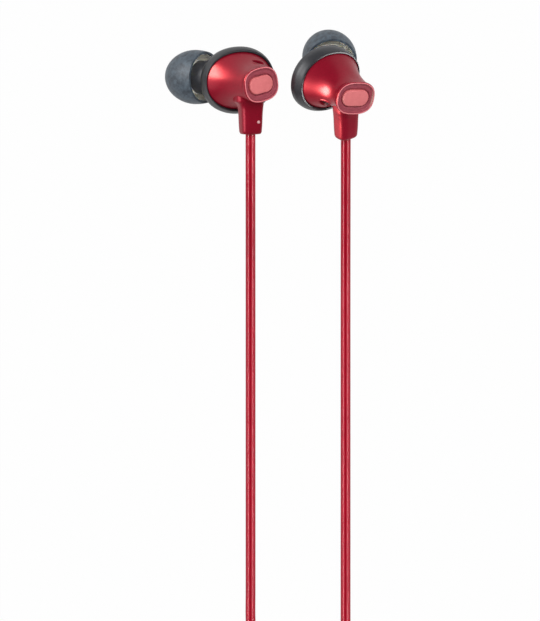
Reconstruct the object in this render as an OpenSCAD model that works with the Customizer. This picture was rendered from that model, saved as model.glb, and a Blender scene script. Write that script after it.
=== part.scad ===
// Wired in-ear earphones, laid out on a flat surface.
// Millimetres, +Z up. The two earbuds stand on their ear tips, their cords run along -Y and
// everything past them is wound into one round coil with the plug beside it.
//
// Each earbud is drawn in a frame of its own: +Z out of the end cap, -Y along the cord,
// and the oval seam between the coloured shell and the dark front housing at Z = 0.

/* [Ear tips] */
// Largest diameter of the silicone ear tip
tip_d = 12; // [10.5:0.5:13.5]
// Length of the dome past the largest diameter
tip_dome = 7.4; // [6:0.1:8]
// Length of the skirt behind the largest diameter
tip_skirt = 2.5; // [2:0.1:3.5]
// Thickness of the outer silicone layer
skirt_wall = 0.5; // [0.35:0.05:0.6]
// Diameter of the sound opening in the dome
tip_mouth_d = 4.6; // [3.6:0.2:5]

/* [Nozzle] */
// Diameter of the collar that the ear tip butts against
neck_d = 7.4; // [7:0.2:8]
// Diameter of the sound tube
tube_d = 5.2; // [4.6:0.1:5.4]
// Diameter of the barb that keeps the ear tip on
barb_d = 5.8; // [5.5:0.1:6]
// Diameter of the sound passage
passage_d = 3.8; // [3:0.1:4]
// Length of the sound tube past the collar
tube_l = 5.2; // [4.5:0.1:6]
// Angle between the nozzle and the line through the driver
nozzle_angle = 29.5; // [24:0.5:32]
// Sideways place of the nozzle's axis at the seam
nozzle_shift = -1.7; // [-2.2:0.1:-1.2]
// Upward place of the nozzle's axis
nozzle_rise = 0.45; // [0.2:0.05:0.6]

/* [Front housing] */
// Width of the rim round the shell
brim_w = 17; // [16.8:0.1:17.6]
// Height of the rim round the shell
brim_h = 14.7; // [14.3:0.1:15.2]
// Depth of the rim behind the seam
brim_depth = 2.7; // [2.3:0.1:3]
// Wall of the front housing
front_wall = 0.9; // [0.7:0.05:1.1]

/* [Rear shell] */
// Width of the oval seam
seam_w = 15.7; // [15.2:0.1:16.2]
// Height of the oval seam
seam_h = 12.5; // [12.2:0.1:12.8]
// Angle that the oval of the seam and the rim is rolled
seam_roll = 6; // [0:0.5:9]
// Distance from the seam to the face of the end cap
shell_l = 10.4; // [9.5:0.1:11]
// Sideways place of the end cap
cap_shift = 1; // [0.6:0.1:1.6]
// Downward place of the end cap
cap_drop = 0.35; // [0.1:0.05:0.5]
// Angle that the end cap is turned sideways
cap_turn = 13.5; // [8:0.5:18]
// Angle that the end cap is rolled
cap_roll = 10.5; // [5:0.5:14]
// Wall of the rear shell
shell_wall = 0.9; // [0.7:0.05:1]

/* [End cap] */
// Width of the end cap
cap_w = 9.2; // [8.9:0.1:9.6]
// Height of the end cap
cap_h = 7.7; // [7.3:0.1:8]
// Depth of the end cap
cap_depth = 1.5; // [1.3:0.1:1.8]
// Width of the raised lip round the end cap
lip_w = 0.45; // [0.35:0.05:0.6]
// Depth of the recess inside the lip
recess = 0.4; // [0.3:0.05:0.5]
// Length of the raised pill in the middle
pill_l = 6.3; // [5.8:0.1:6.6]
// Width of the raised pill in the middle
pill_w = 3.8; // [3.5:0.1:4]

/* [Cord sleeve] */
// Width of the sleeve at its middle
sleeve_w = 5; // [4.6:0.1:5.4]
// Thickness of the sleeve at its middle
sleeve_t = 4.2; // [3.8:0.1:4.6]
// Distance from the shell's middle line to the sleeve's end
sleeve_l = 11.5; // [11:0.1:12.5]
// Distance of the sleeve from the seam
sleeve_z = 5.8; // [5.4:0.1:6.2]
// Sideways place of the sleeve
sleeve_x = 0.2; // [0:0.1:0.5]

/* [Driver] */
// Room between the driver's rim and the shell's wall
driver_room = 0.85; // [0.7:0.05:1]
// Thickness of the driver's rim
driver_rim = 0.45; // [0.35:0.05:0.55]
// Diameter of the voice coil
coil_d = 4.6; // [4:0.2:5]
// Thickness of the magnet
magnet_t = 1; // [0.8:0.1:1.2]

/* [Cord] */
// Width of the flat cord
cord_w = 2.2; // [2:0.1:2.3]
// Thickness of the flat cord
cord_t = 1.6; // [1.5:0.05:1.7]
// Space between neighbouring turns of the coil
turn_gap = 0.45; // [0.42:0.01:0.6]
// Middle radius of the coil's innermost turn
coil_r = 12; // [11.5:0.1:13]

/* [Plug] */
// Diameter of the plug's pin
pin_d = 3.5; // [3.5:0.1:3.5]
// Length of the plug's pin
pin_l = 14; // [13:0.5:15]
// Diameter of the plug's handle
handle_d = 6; // [5.6:0.1:6.4]
// Length of the plug's handle
handle_l = 15; // [13:0.5:17]
// Length of the strain relief behind the handle
relief_l = 6; // [5:0.5:7]

/* [Fits] */
// Radial clearance of the ear tip's bore over the barb
tip_clearance = 0.05; // [0.03:0.01:0.08]
// Gap all round pieces that are glued or pressed together
seat_gap = 0.04; // [0.02:0.01:0.06]

/* [Hidden] */
$fn = 64;

shell_red = [0.66, 0.08, 0.19];
pill_red = [0.87, 0.45, 0.48];
recess_red = [0.50, 0.20, 0.28];
cord_red = [0.74, 0.16, 0.25];
housing_grey = [0.20, 0.20, 0.23];
tip_slate = [0.32, 0.37, 0.42];
core_cream = [0.88, 0.87, 0.78];
steel = [0.75, 0.76, 0.78];
gold = [0.85, 0.70, 0.35];
copper = [0.75, 0.42, 0.25];

// Places of the earbuds: where the seam's centre is, and how each one is turned
bud_x = [-6.6, 13.4];
bud_y = [0.97, 0.92];
bud_yaw = [22.5, 38];
bud_pitch = [4, 25];
// Angle round the seam at which the vent opens: above on the left, below on the right
vent_angle = [51, -54];
vent_at = 0.25;

loft_sides = 40;

// ---- shared geometry ----

// Oval ring of points, from an ellipse (power 2) towards a rounded rectangle (power 4)
function oval(a, b, power, roll = 0, sides = loft_sides) = [
    for (i = [0 : sides - 1])
        let (t = 360 * (i + 0.5) / sides, c = cos(t), s = sin(t),
             x = a * sign(c) * pow(abs(c), 2 / power),
             y = b * sign(s) * pow(abs(s), 2 / power))
        [x * cos(roll) - y * sin(roll), x * sin(roll) + y * cos(roll)]
];

// The ring set at a place, its plane turned about Y
function set_ring(ring, place, turn) = [
    for (p = ring) place + [p.x * cos(turn), p.y, -p.x * sin(turn)]
];

// Skin over rings that all have the same count of points; closed = false caps both ends
module loft(rings, closed = false) {
    sides = len(rings[0]);
    last = len(rings) - 1;
    pts = [for (r = rings) each r];
    walls = [
        for (k = [0 : closed ? last : last - 1]) let (up = (k + 1) % (last + 1))
            for (i = [0 : sides - 1]) let (j = (i + 1) % sides)
                each [[k * sides + i, up * sides + i, k * sides + j],
                      [k * sides + j, up * sides + i, up * sides + j]]
    ];
    ends = closed ? [] : [
        [for (i = [0 : sides - 1]) i],
        [for (i = [sides - 1 : -1 : 0]) last * sides + i]
    ];
    polyhedron(points = pts, faces = concat(walls, ends), convexity = 6);
}

function bezier(p, t) =
    pow(1 - t, 3) * p[0] + 3 * t * pow(1 - t, 2) * p[1] + 3 * t * t * (1 - t) * p[2] + pow(t, 3) * p[3];
function smooth(t) = let (u = min(1, max(0, t))) u * u * (3 - 2 * u);
function steps(n) = [for (i = [0 : n]) i / n];
function turned(v, yaw, pitch) =
    let (x = v.x * cos(yaw) + v.z * sin(yaw), z = -v.x * sin(yaw) + v.z * cos(yaw))
    [x, v.y * cos(pitch) - z * sin(pitch), v.y * sin(pitch) + z * cos(pitch)];

module stadium(length, width) {
    square([length - width, width], center = true);
    for (s = [-1, 1]) translate([s * (length - width) / 2, 0]) circle(d = width);
}

// ---- ear tip and nozzle outlines: radius, distance along the nozzle from the seam plane ----

nozzle_dir = [-sin(nozzle_angle), 0, -cos(nozzle_angle)];
neck_start = 5.8;
neck_end = 9.3;
tube_end = neck_end + tube_l;
rim_at = 7.7;
widest_at = rim_at + tip_skirt;
mouth_angle = acos((tip_mouth_d / 2 + 0.6) / (tip_d / 2));
apex_at = widest_at + tip_dome * sin(mouth_angle);
dome_steps = 9;
bore_r = barb_d / 2 + tip_clearance;
core_room = 0.3;

// Curve of the dome and skirt, drawn in by a depth, from the rim to the mouth
function dome(depth) = let (r = tip_d / 2 - depth, rise = tip_dome - depth) concat(
    [[r - 0.28, rim_at], [r - 0.08, rim_at + tip_skirt * 0.45]],
    [for (i = [0 : dome_steps]) let (a = mouth_angle * i / dome_steps)
        [r * cos(a), widest_at + rise * sin(a)]]
);
function reversed(list) = [for (i = [len(list) - 1 : -1 : 0]) list[i]];

// A point or direction of an earbud, turned as that earbud is; the right one is mirrored
function side_index(side) = side == "left" ? 0 : 1;
function as_placed(v, side) = let (i = side_index(side))
    turned([side == "right" ? -v.x : v.x, v.y, v.z], bud_yaw[i], bud_pitch[i]);

// How far the ear tip reaches below the seam's centre when the earbud is turned
function reach_down(side) =
    let (d = as_placed(nozzle_dir, side), o = as_placed([nozzle_shift, nozzle_rise, 0], side),
         slope = sqrt(1 - d.z * d.z))
    -min([for (p = dome(0)) o.z + p.y * d.z - p.x * slope]);
function bud_place(side) = let (i = side_index(side)) [bud_x[i], bud_y[i], reach_down(side)];

module bud(side) {
    i = side_index(side);
    translate(bud_place(side))
        rotate([bud_pitch[i], 0, 0]) rotate([0, bud_yaw[i], 0])
            if (side == "right") mirror([1, 0, 0]) children();
            else children();
}
module along_nozzle(side) bud(side)
    translate([nozzle_shift, nozzle_rise, 0]) rotate([0, 180 + nozzle_angle, 0]) children();

// ---- ear tip ----

module ear_tip_skirt(side) color(tip_slate) along_nozzle(side)
    rotate_extrude() polygon(concat(
        dome(0), [[tip_mouth_d / 2 + 0.25, apex_at + 0.12], [tip_mouth_d / 2, apex_at - 0.15],
                  [tip_mouth_d / 2, apex_at - 0.9]],
        reversed(dome(skirt_wall))));

module ear_tip_core(side) color(core_cream) along_nozzle(side)
    rotate_extrude() polygon(concat(
        [for (p = dome(skirt_wall)) if (p.y > rim_at) p],
        [[tip_mouth_d / 2, apex_at - 0.9], [tip_mouth_d / 2, tube_end + 0.35],
         [bore_r, tube_end + 0.35], [bore_r, neck_end + seat_gap],
         [neck_d / 2, neck_end + seat_gap], [neck_d / 2 + core_room, neck_end - 0.3]]));

// ---- nozzle ----

module nozzle(side) color(housing_grey) along_nozzle(side)
    rotate_extrude() polygon([
        [passage_d / 2, neck_start], [neck_d / 2, neck_start], [neck_d / 2, neck_end - 0.4],
        [neck_d / 2 - 0.4, neck_end], [tube_d / 2, neck_end],
        [tube_d / 2, tube_end - 1.9], [barb_d / 2, tube_end - 1.6],
        [tube_d / 2 - 0.1, tube_end], [passage_d / 2 + 0.35, tube_end],
        [passage_d / 2 + 0.35, tube_end - 0.5], [passage_d / 2, tube_end - 0.5]]);

module nozzle_mesh(side) color(steel) along_nozzle(side)
    translate([0, 0, tube_end - 0.45]) cylinder(r = passage_d / 2 + 0.35 - seat_gap, h = 0.25);

// ---- front housing: rim and bowl that sweeps into the nozzle ----

// Ring through the left and right edge of the bowl, seen along the cord; edges are [x, z]
function edge_ring(left, right, half_height, rise, power, roll) =
    let (mid = (left + right) / 2, span = right - left)
    set_ring(oval(norm(span) / 2, half_height, power, roll), [mid.x, rise, mid.y], atan2(-span.y, span.x));

function along_axis(r) = [nozzle_shift + nozzle_dir.x * r, nozzle_dir.z * r];
axis_flat = [nozzle_dir.x, nozzle_dir.z];
axis_side = [cos(nozzle_angle), -sin(nozzle_angle)];
neck_mid = along_axis(neck_start);
neck_left = neck_mid - axis_side * neck_d / 2;
neck_right = neck_mid + axis_side * neck_d / 2;
hole_left = neck_mid - axis_side * passage_d / 2;
hole_right = neck_mid + axis_side * passage_d / 2;

ledge_z = -0.75;
ledge_w = 1.6;
shelf_t = 0.85;
lip_z = 0.25;

brim_shift = 0.3;
function bowl_outer(t) = edge_ring(
    bezier([[brim_shift - brim_w / 2, -brim_depth], [brim_shift - brim_w / 2, -brim_depth - 0.6],
            neck_left - axis_flat * 0.8, neck_left], t),
    bezier([[brim_shift + brim_w / 2, -brim_depth], [brim_shift + brim_w / 2, -brim_depth - 1.8],
            neck_right - axis_flat * 3, neck_right], t),
    bezier([brim_h / 2, brim_h / 2 - 0.1, neck_d / 2 + 0.5, neck_d / 2], t),
    nozzle_rise * smooth(t), 2.1 - 0.1 * t, seam_roll * (1 - t));

seam_a = seam_w / 2;
seam_b = seam_h / 2;
bowl_a = seam_a - ledge_w;
bowl_b = seam_b - ledge_w;
function bowl_inner(t) = edge_ring(
    bezier([[-bowl_a, ledge_z - shelf_t], [-bowl_a, ledge_z - shelf_t - 0.4],
            hole_left - axis_flat * 0.8, hole_left], t),
    bezier([[bowl_a, ledge_z - shelf_t], [bowl_a - 0.4, ledge_z - shelf_t - 1.2 * front_wall],
            hole_right - axis_flat * 2.4, hole_right], t),
    bezier([bowl_b, bowl_b - 0.5, passage_d / 2 + 0.4, passage_d / 2], t),
    nozzle_rise * smooth(t), 2, seam_roll * (1 - t));

function flat_ring(a, b, z, shift = 0) = set_ring(oval(a, b, 2.1, seam_roll), [shift, 0, z], 0);

module front_housing(side) color(housing_grey) bud(side)
    loft(concat(
        [for (t = steps(8)) bowl_inner(t)],
        [for (t = reversed(steps(9))) bowl_outer(t)],
        [flat_ring(brim_w / 2 + 0.05, brim_h / 2 + 0.05, -brim_depth * 0.6, brim_shift),
         flat_ring(brim_w / 2 - 0.15, brim_h / 2 - 0.15, -brim_depth * 0.25, brim_shift * 0.8),
         flat_ring(seam_a + 0.35, seam_b + 0.55, lip_z - 0.1, brim_shift * 0.4),
         flat_ring(seam_a + 0.15, seam_b + 0.25, lip_z),
         flat_ring(seam_a + seat_gap, seam_b + seat_gap, lip_z - 0.1),
         flat_ring(seam_a + seat_gap, seam_b + seat_gap, ledge_z),
         flat_ring(bowl_a, bowl_b, ledge_z)]), closed = true);

// ---- driver ----

driver_d = seam_h - 2 * shell_wall - 2 * driver_room;
baffle_t = 0.7;
baffle_a = seam_a - shell_wall - 0.1;
baffle_b = seam_b - shell_wall - 0.1;
driver_z = ledge_z + baffle_t;
driver_h = 1.5;
yoke_wall = 0.4;
yoke_r = driver_d / 2 - driver_rim - seat_gap;
yoke_z = driver_z + 0.9;
yoke_h = magnet_t + yoke_wall + 0.5;

module driver_baffle(side) color(housing_grey) bud(side)
    translate([0, 0, ledge_z]) difference() {
        rotate([0, 0, seam_roll]) linear_extrude(baffle_t)
            scale([baffle_a / baffle_b, 1]) circle(r = baffle_b);
        translate([0, 0, -1]) cylinder(r = driver_d / 2 - 2 * driver_rim, h = baffle_t + 2);
    }

module driver_rim(side) color(steel) bud(side)
    translate([0, 0, driver_z]) difference() {
        cylinder(d = driver_d, h = driver_h);
        translate([0, 0, 0.4]) cylinder(r = driver_d / 2 - driver_rim, h = driver_h);
        translate([0, 0, -1]) cylinder(r = driver_d / 2 - 2 * driver_rim, h = driver_h);
    }

module diaphragm(side) color("ivory") bud(side)
    translate([0, 0, driver_z + 0.4]) rotate_extrude() polygon([
        [0, 0.3], [coil_d / 2 - 0.3, 0.1], [coil_d / 2, 0], [driver_d / 2 - driver_rim - 0.6, 0.12],
        [driver_d / 2 - driver_rim - seat_gap, 0], [driver_d / 2 - driver_rim - seat_gap, 0.1],
        [driver_d / 2 - driver_rim - 0.6, 0.22], [coil_d / 2, 0.1], [coil_d / 2 - 0.3, 0.2],
        [0, 0.4]]);

module voice_coil(side) color(copper) bud(side)
    translate([0, 0, driver_z + 0.6 + seat_gap]) difference() {
        cylinder(d = coil_d, h = 1);
        translate([0, 0, -1]) cylinder(d = coil_d - 0.4, h = 3);
    }

module magnet(side) color(steel) bud(side)
    translate([0, 0, yoke_z + yoke_h - yoke_wall - magnet_t])
        cylinder(d = coil_d - 1, h = magnet_t);

module yoke(side) color("dimgray") bud(side)
    translate([0, 0, yoke_z]) difference() {
        cylinder(r = yoke_r - 0.3, h = yoke_h);
        translate([0, 0, -1]) cylinder(r = yoke_r - 0.3 - yoke_wall, h = yoke_h - yoke_wall + 1);
        translate([0, 0, yoke_h - 1]) cylinder(d = 1, h = 2);
    }

module terminal_board(side) color("darkgreen") bud(side)
    translate([0, 0, yoke_z + yoke_h]) difference() {
        linear_extrude(0.4) stadium(yoke_r + 1, 2.4);
        for (s = [-1, 1]) translate([s * 1.4, 0, -1]) cylinder(d = 0.7, h = 2);
    }

// ---- rear shell: a bent horn from the seam to the end cap ----

cap_normal = [sin(cap_turn), 0, cos(cap_turn)];
cap_mid = [cap_shift, -cap_drop, shell_l];
shell_end = cap_mid - cap_depth * cap_normal;
end_a = cap_w / 2 - 0.25;
end_b = cap_h / 2 - 0.2;
horn_steps = [0, 0.06, 0.12, 0.18, 0.24, 0.26, 0.31, 0.37, 0.44, 0.53, 0.64, 0.76, 0.88, 1];
hood_h = 0.65;

function horn_mid(t) =
    bezier([[0, 0, 0], [0.3, 0, shell_l * 0.35], shell_end - 3 * cap_normal, shell_end], t);
function horn_size(t) = pow(1 - t, 2.3);
function horn_a(t) = end_a + (seam_a - end_a) * horn_size(t);
function horn_b(t) = end_b + (seam_b - end_b) * horn_size(t);

// Ring of the horn at t, drawn in by a wall, with the vent's hood standing out past the vent
function horn_ring(t, wall, hood_angle, sides = loft_sides) =
    let (turn = cap_turn * smooth(t), roll = seam_roll + (cap_roll - seam_roll) * smooth(t),
         hood = wall > 0 || t < vent_at ? 0 : hood_h * (1 - smooth((t - vent_at) / 0.4)),
         ring = oval(horn_a(t) - wall, horn_b(t) - wall, 2.1 + 0.35 * t, roll, sides))
    set_ring([for (p = ring) let (away = (atan2(p.y, p.x) - hood_angle) / 16)
        p * (1 + hood * exp(-away * away) / norm(p))], horn_mid(t), turn);

function horn_rings(wall, hood_angle) = [for (t = horn_steps) horn_ring(t, wall, hood_angle)];

module vent_place(side) {
    angle = vent_angle[side_index(side)];
    r = 1 / norm([cos(angle) / horn_a(vent_at), sin(angle) / horn_b(vent_at)]);
    translate(horn_mid(vent_at) + [r * cos(angle), r * sin(angle), 0]) rotate([0, 0, angle]) children();
}

vent_l = 2.6;
vent_h = 0.7;
vent_deep = 2.4;

module rear_shell(side) color(shell_red) bud(side) difference() {
    loft(concat(
        [flat_ring(seam_a, seam_b, ledge_z)],
        horn_rings(0, vent_angle[side_index(side)]), reversed(horn_rings(shell_wall, 0)),
        [flat_ring(seam_a - shell_wall, seam_b - shell_wall, ledge_z)]), closed = true);
    vent_place(side) translate([-vent_deep / 2 + hood_h - 0.25, 0, -vent_h / 2 + 0.15])
        cube([vent_deep, vent_l, vent_h], center = true);
    translate([sleeve_x, 0, sleeve_z]) rotate([90, 0, 0]) cylinder(r = cord_w / 2 + 0.1, h = seam_h);
}

module vent_screen(side) color("black") bud(side)
    vent_place(side) translate([-0.5, 0, -vent_h / 2 + 0.15])
        cube([0.3, vent_l - 2 * seat_gap, vent_h - 2 * seat_gap], center = true);

// ---- end cap ----

module at_cap(side) bud(side) translate(cap_mid) rotate([0, cap_turn, 0]) rotate([0, 0, cap_roll]) children();
function cap_ring(inset, z, power = 2.6) =
    [for (p = oval(cap_w / 2 - inset, cap_h / 2 - inset, power)) [p.x, p.y, z]];
function pill_ring(grow, z) = let (half = (pill_l - pill_w) / 2, r = pill_w / 2 + grow) [
    for (i = [0 : loft_sides - 1]) let (t = 360 * (i + 0.5) / loft_sides)
        [r * cos(t) + half * sign(cos(t)), r * sin(t), z]
];
pill_seat = recess + 0.35;

module end_cap(side) color(recess_red) at_cap(side)
    loft([
        [for (p = oval(end_a, end_b, 2.45)) [p.x, p.y, -cap_depth]],
        cap_ring(0.25, -cap_depth + 0.35), cap_ring(0.08, -0.7), cap_ring(0, -0.35),
        cap_ring(0.12, -0.06), cap_ring(0.25, 0), cap_ring(lip_w, -0.05),
        cap_ring(lip_w + 0.12, -recess), pill_ring(0.32, -recess), pill_ring(0.25, -pill_seat)]);

module cap_pill(side) color(pill_red) at_cap(side)
    loft([pill_ring(0, -pill_seat), pill_ring(0, -0.16), pill_ring(-0.12, -0.04), pill_ring(-0.3, 0)]);

// ---- cord sleeve ----

sleeve_top = 2.6;
function sleeve_ring(grow_w, grow_t, y, power, lean = 0) =
    [for (p = oval(sleeve_w / 2 + grow_w, sleeve_t / 2 + grow_t, power, 0, 32))
        [sleeve_x - lean + p.x, y, sleeve_z + p.y]];

module cord_sleeve(side) color(shell_red) bud(side) difference() {
    loft([
        sleeve_ring(-0.75, -0.75, -sleeve_l, 3), sleeve_ring(-0.35, -0.35, -sleeve_l + 0.12, 3.2),
        sleeve_ring(-0.18, -0.15, -sleeve_l + 0.6, 3.6), sleeve_ring(-0.1, -0.05, -sleeve_l + 2.2, 3.8),
        sleeve_ring(0, 0, -sleeve_l + 4.6, 3.8), sleeve_ring(0.1, 0.05, -6, 3.6),
        sleeve_ring(0.22, 0.12, -5.4, 3.4, 0.05), sleeve_ring(0.42, 0.2, -4.9, 3.2, 0.15),
        sleeve_ring(0.65, 0.3, -4.5, 3, 0.35), sleeve_ring(0.8, 0.4, -4.1, 3, 0.5),
        sleeve_ring(0.8, 0.4, -sleeve_top, 3, 0.5)]);
    loft([for (t = horn_steps) horn_ring(t, -seat_gap, vent_angle[side_index(side)])]);
    translate([0, 0, -0.02]) loft([for (z = [-cap_depth, 0.5])
        [for (p = oval(cap_w / 2 + 0.1, cap_h / 2 + 0.1, 2.6, cap_roll))
            cap_mid + [p.x * cos(cap_turn), p.y, z - p.x * sin(cap_turn)]]]);
    translate([sleeve_x, -sleeve_l + 1.4, sleeve_z]) rotate([90, 0, 0])
        cylinder(r = cord_w / 2 + 0.12, h = 3);
}

module side_dot() color(pill_red) bud("left")
    translate([sleeve_x + 1.1, -8.75, sleeve_z + sleeve_t / 2 - 0.03]) intersection() {
        translate([0, 0, -0.15]) sphere(d = 0.8);
        translate([0, 0, 0.5]) cube([1, 1, 1], center = true);
    }

// ---- cords ----

// Section of the cord: 8 sides for a free stretch, 6 for a coil, its flat sides up and down
function section(sides) = let (first = sides == 8 ? 22.5 : 0, flat = sin(sides == 8 ? 67.5 : 60)) [
    for (i = [0 : sides - 1]) let (t = first + 360 * i / sides)
        [cord_w / 2 * cos(t) / (sides == 8 ? cos(22.5) : 1), cord_t / 2 * sin(t) / flat]
];
function unit(v) = v / norm(v);
function heading(path, i) = unit(path[min(i + 1, len(path) - 1)] - path[max(i - 1, 0)]);
function tube_rings(path, sides) = [
    for (i = [0 : len(path) - 1])
        let (ahead = heading(path, i), across = unit(cross(ahead, [0, 0, 1])), up = cross(across, ahead))
        [for (s = section(sides)) path[i] + s.x * across + s.y * up]
];
module tube(path, sides) loft(tube_rings(path, sides));

floor_z = cord_t / 2;
layer = cord_t + turn_gap;
pitch = cord_w + turn_gap;
coil_mid = [-5.8, -147, floor_z];
rings_per_turn = 24;

// Free stretch from each sleeve down onto the surface and along it, chosen by hand
left_route = [
    [-4.2, -9.5, 16.7], [-4.2, -12.8, 16.4], [-4.2, -17, 15.7], [-4.2, -22, 14.1],
    [-4.2, -27, 11.7], [-4.2, -32, 8.8], [-4.2, -37, 5.9], [-4.2, -42, 3.5],
    [-4.2, -47, 1.9], [-4.2, -52, 1.05], [-4.2, -57, 0.8], [-4.2, -63, 0.8],
    [-4.2, -70, 0.8], [-4.2, -77, 0.8], [-4.2, -84, 0.8], [-4.2, -91, 0.8],
    [-4.2, -98, 0.8], [-4.2, -105, 0.8], [-4.2, -112, 0.8], [-4.2, -118, 0.8],
    [-3.8, -122, 0.8], [-2.3, -124.5, 0.8], [-0.1, -126.4, 0.8], [2.15, -127.7, 0.8]
];
right_route = [
    [16.8, -10.25, 16.95], [16.8, -12.8, 15.75], [16.8, -17, 13.7], [16.8, -21.5, 11.4],
    [16.8, -26, 8.9], [16.8, -30.5, 6.4], [16.8, -35, 4.2], [16.8, -39.5, 2.4],
    [16.8, -44, 1.3], [16.8, -49, 0.8], [16.8, -55, 0.8], [16.8, -62, 0.8],
    [16.8, -69, 0.8], [16.8, -76, 0.8], [16.8, -83, 0.8], [16.8, -90, 0.8],
    [16.8, -97, 0.8], [16.8, -104, 0.8], [16.8, -111, 0.8], [16.8, -118, 0.8],
    [16.8, -125, 0.8], [16.8, -132, 0.8], [16.8, -139, 0.8]
];

module cord_left() color(cord_red) tube(left_route, 8);
module cord_right() color(cord_red) tube(right_route, 8);

// The two side cords wind inwards side by side on the surface and turn into the split
side_turns = 1.5;
bend_r = 5.4;
bend_x = coil_r - bend_r;
split_l = 9;
split_x = -4.4;
lead_in = cord_w;
function side_r(outer, turn) = coil_r + outer * pitch + 2 * pitch * (side_turns - turn);
function polar(r, angle, z = 0) = coil_mid + [r * cos(angle), r * sin(angle), z];
function side_coil(outer, first_turn) = concat(
    [for (i = [round(first_turn * rings_per_turn) : side_turns * rings_per_turn])
        let (turn = i / rings_per_turn) polar(side_r(outer, turn), -360 * turn)],
    [for (a = [15 : 15 : 90]) let (r = bend_r + outer * pitch)
        coil_mid + [-bend_x - r * cos(a), r * sin(a), 0]],
    [coil_mid + [split_x, bend_r + outer * pitch, 0]]
);
left_coil = concat([left_route[len(left_route) - 1]], side_coil(0, -4 / rings_per_turn));
right_coil = concat([right_route[len(right_route) - 1]], side_coil(1, 0));

module cord_left_coil() color(cord_red) tube(left_coil, 6);
module cord_right_coil() color(cord_red) tube(right_coil, 6);

// The main cord leaves the split, climbs onto the side cords and winds out, in and out again
layer_turns = 8 / 3;
main_turns = 3 * layer_turns;
split_y = bend_r + pitch / 2;
main_bend = 5.2;
climb_turn = 0.5;
function main_r(turn) = let (k = floor(turn / layer_turns + 0.0001), u = turn - k * layer_turns)
    coil_r + pitch * (k % 2 == 0 ? u : layer_turns - u);
function main_z(turn) = layer * (
    smooth((turn + 0.17) / 0.36)
    + smooth((turn - layer_turns + climb_turn / 2) / climb_turn)
    + smooth((turn - 2 * layer_turns + climb_turn / 2) / climb_turn));
main_coil = concat(
    [coil_mid + [split_x + split_l, split_y, 0], coil_mid + [split_x + split_l + lead_in, split_y, 0]],
    [for (a = [22.5 : 22.5 : 67.5])
        coil_mid + [coil_r - main_bend + main_bend * sin(a), split_y - main_bend * (1 - cos(a)),
                    main_z(-0.14 + 0.11 * a / 90)]],
    [for (i = [0 : main_turns * rings_per_turn]) let (turn = i / rings_per_turn)
        polar(main_r(turn), -360 * turn, main_z(turn))]
);
module cord_main_coil() color(cord_red) tube(main_coil, 6);

// Least gap between a turn of the main cord and the turns above, below and beside it
coil_rings = tube_rings(main_coil, 6);
first_ring = len(main_coil) - main_turns * rings_per_turn;
least_gap = min([for (i = [first_ring : len(coil_rings) - 1])
    for (j = [i + rings_per_turn : rings_per_turn : len(coil_rings) - 1])
        for (p = coil_rings[i]) for (q = coil_rings[j]) norm(p - q)]);
echo(least_gap_of_main_coil = least_gap);

tail_start = main_coil[len(main_coil) - 1];
plug_x = 5;
plug_y = -179;
tail_route = [
    [13.2, -151, 6.6], [13.2, -155.5, 5.6], [13.2, -160, 4.2], [13, -164.5, 2.9],
    [12.4, -169, 2.1], [11.1, -173.5, 1.9], [9.4, -176.8, 2.3]
];
module cord_main_tail() color(cord_red)
    tube(concat([tail_start], tail_route,
        [[plug_x + lead_in, plug_y, handle_d / 2], [plug_x, plug_y, handle_d / 2]]), 8);

// ---- split ----

split_h = 3.2;
function split_ring(x, width, height) =
    [for (p = oval(width / 2, height / 2, 3, 0, 24)) coil_mid + [x, split_y + p.x, height / 2 - floor_z + p.y]];
module y_split() color(shell_red) loft(reversed([
    split_ring(split_x, pitch + cord_w + 0.2, split_h - 0.6),
    split_ring(split_x + 0.5, pitch + cord_w + 1, split_h),
    split_ring(split_x + split_l * 0.35, pitch + cord_w + 0.8, split_h),
    split_ring(split_x + split_l * 0.75, cord_w + 1.9, split_h),
    split_ring(split_x + split_l - 0.4, cord_w + 1.2, split_h - 0.3),
    split_ring(split_x + split_l, cord_w + 0.5, split_h - 0.8)]));

// ---- plug: axis along -X, its tip at the far end ----

sleeve_pin = 7.4;
band = 0.7;
ring_l = 1.6;
module at_plug() translate([plug_x, plug_y, handle_d / 2]) rotate([0, -90, 0]) children();
handle_at = relief_l;
pin_at = relief_l + handle_l;
insulator_at = pin_at + sleeve_pin;
plug_ring_at = insulator_at + band;
second_insulator_at = plug_ring_at + ring_l;
tip_at = second_insulator_at + band;
tip_l = pin_at + pin_l - tip_at;

module plug_relief() color(housing_grey) at_plug() difference() {
    cylinder(d1 = cord_w + 0.9, d2 = handle_d - 1.4, h = relief_l);
    for (i = [0 : 3]) translate([0, 0, 1 + i * 1.25]) difference() {
        cylinder(d = handle_d, h = 0.45);
        cylinder(d1 = cord_w + 0.5 + i * 0.3, d2 = cord_w + 0.55 + i * 0.3, h = 0.45);
    }
}
module plug_handle() color(shell_red) at_plug() translate([0, 0, handle_at])
    rotate_extrude() polygon([
        [0, 0], [handle_d / 2 - 0.8, 0], [handle_d / 2 - 0.2, 0.4], [handle_d / 2, 1.2],
        [handle_d / 2, handle_l - 1.6], [handle_d / 2 - 0.3, handle_l - 0.9],
        [handle_d / 2 - 0.7, handle_l], [0, handle_l]]);
module plug_sleeve() color(gold) at_plug() translate([0, 0, pin_at])
    cylinder(d = pin_d, h = sleeve_pin);
module plug_insulators() color("black") at_plug()
    for (z = [insulator_at, second_insulator_at]) translate([0, 0, z]) cylinder(d = pin_d, h = band);
module plug_rings() color(gold) at_plug() translate([0, 0, plug_ring_at]) cylinder(d = pin_d, h = ring_l);
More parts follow.
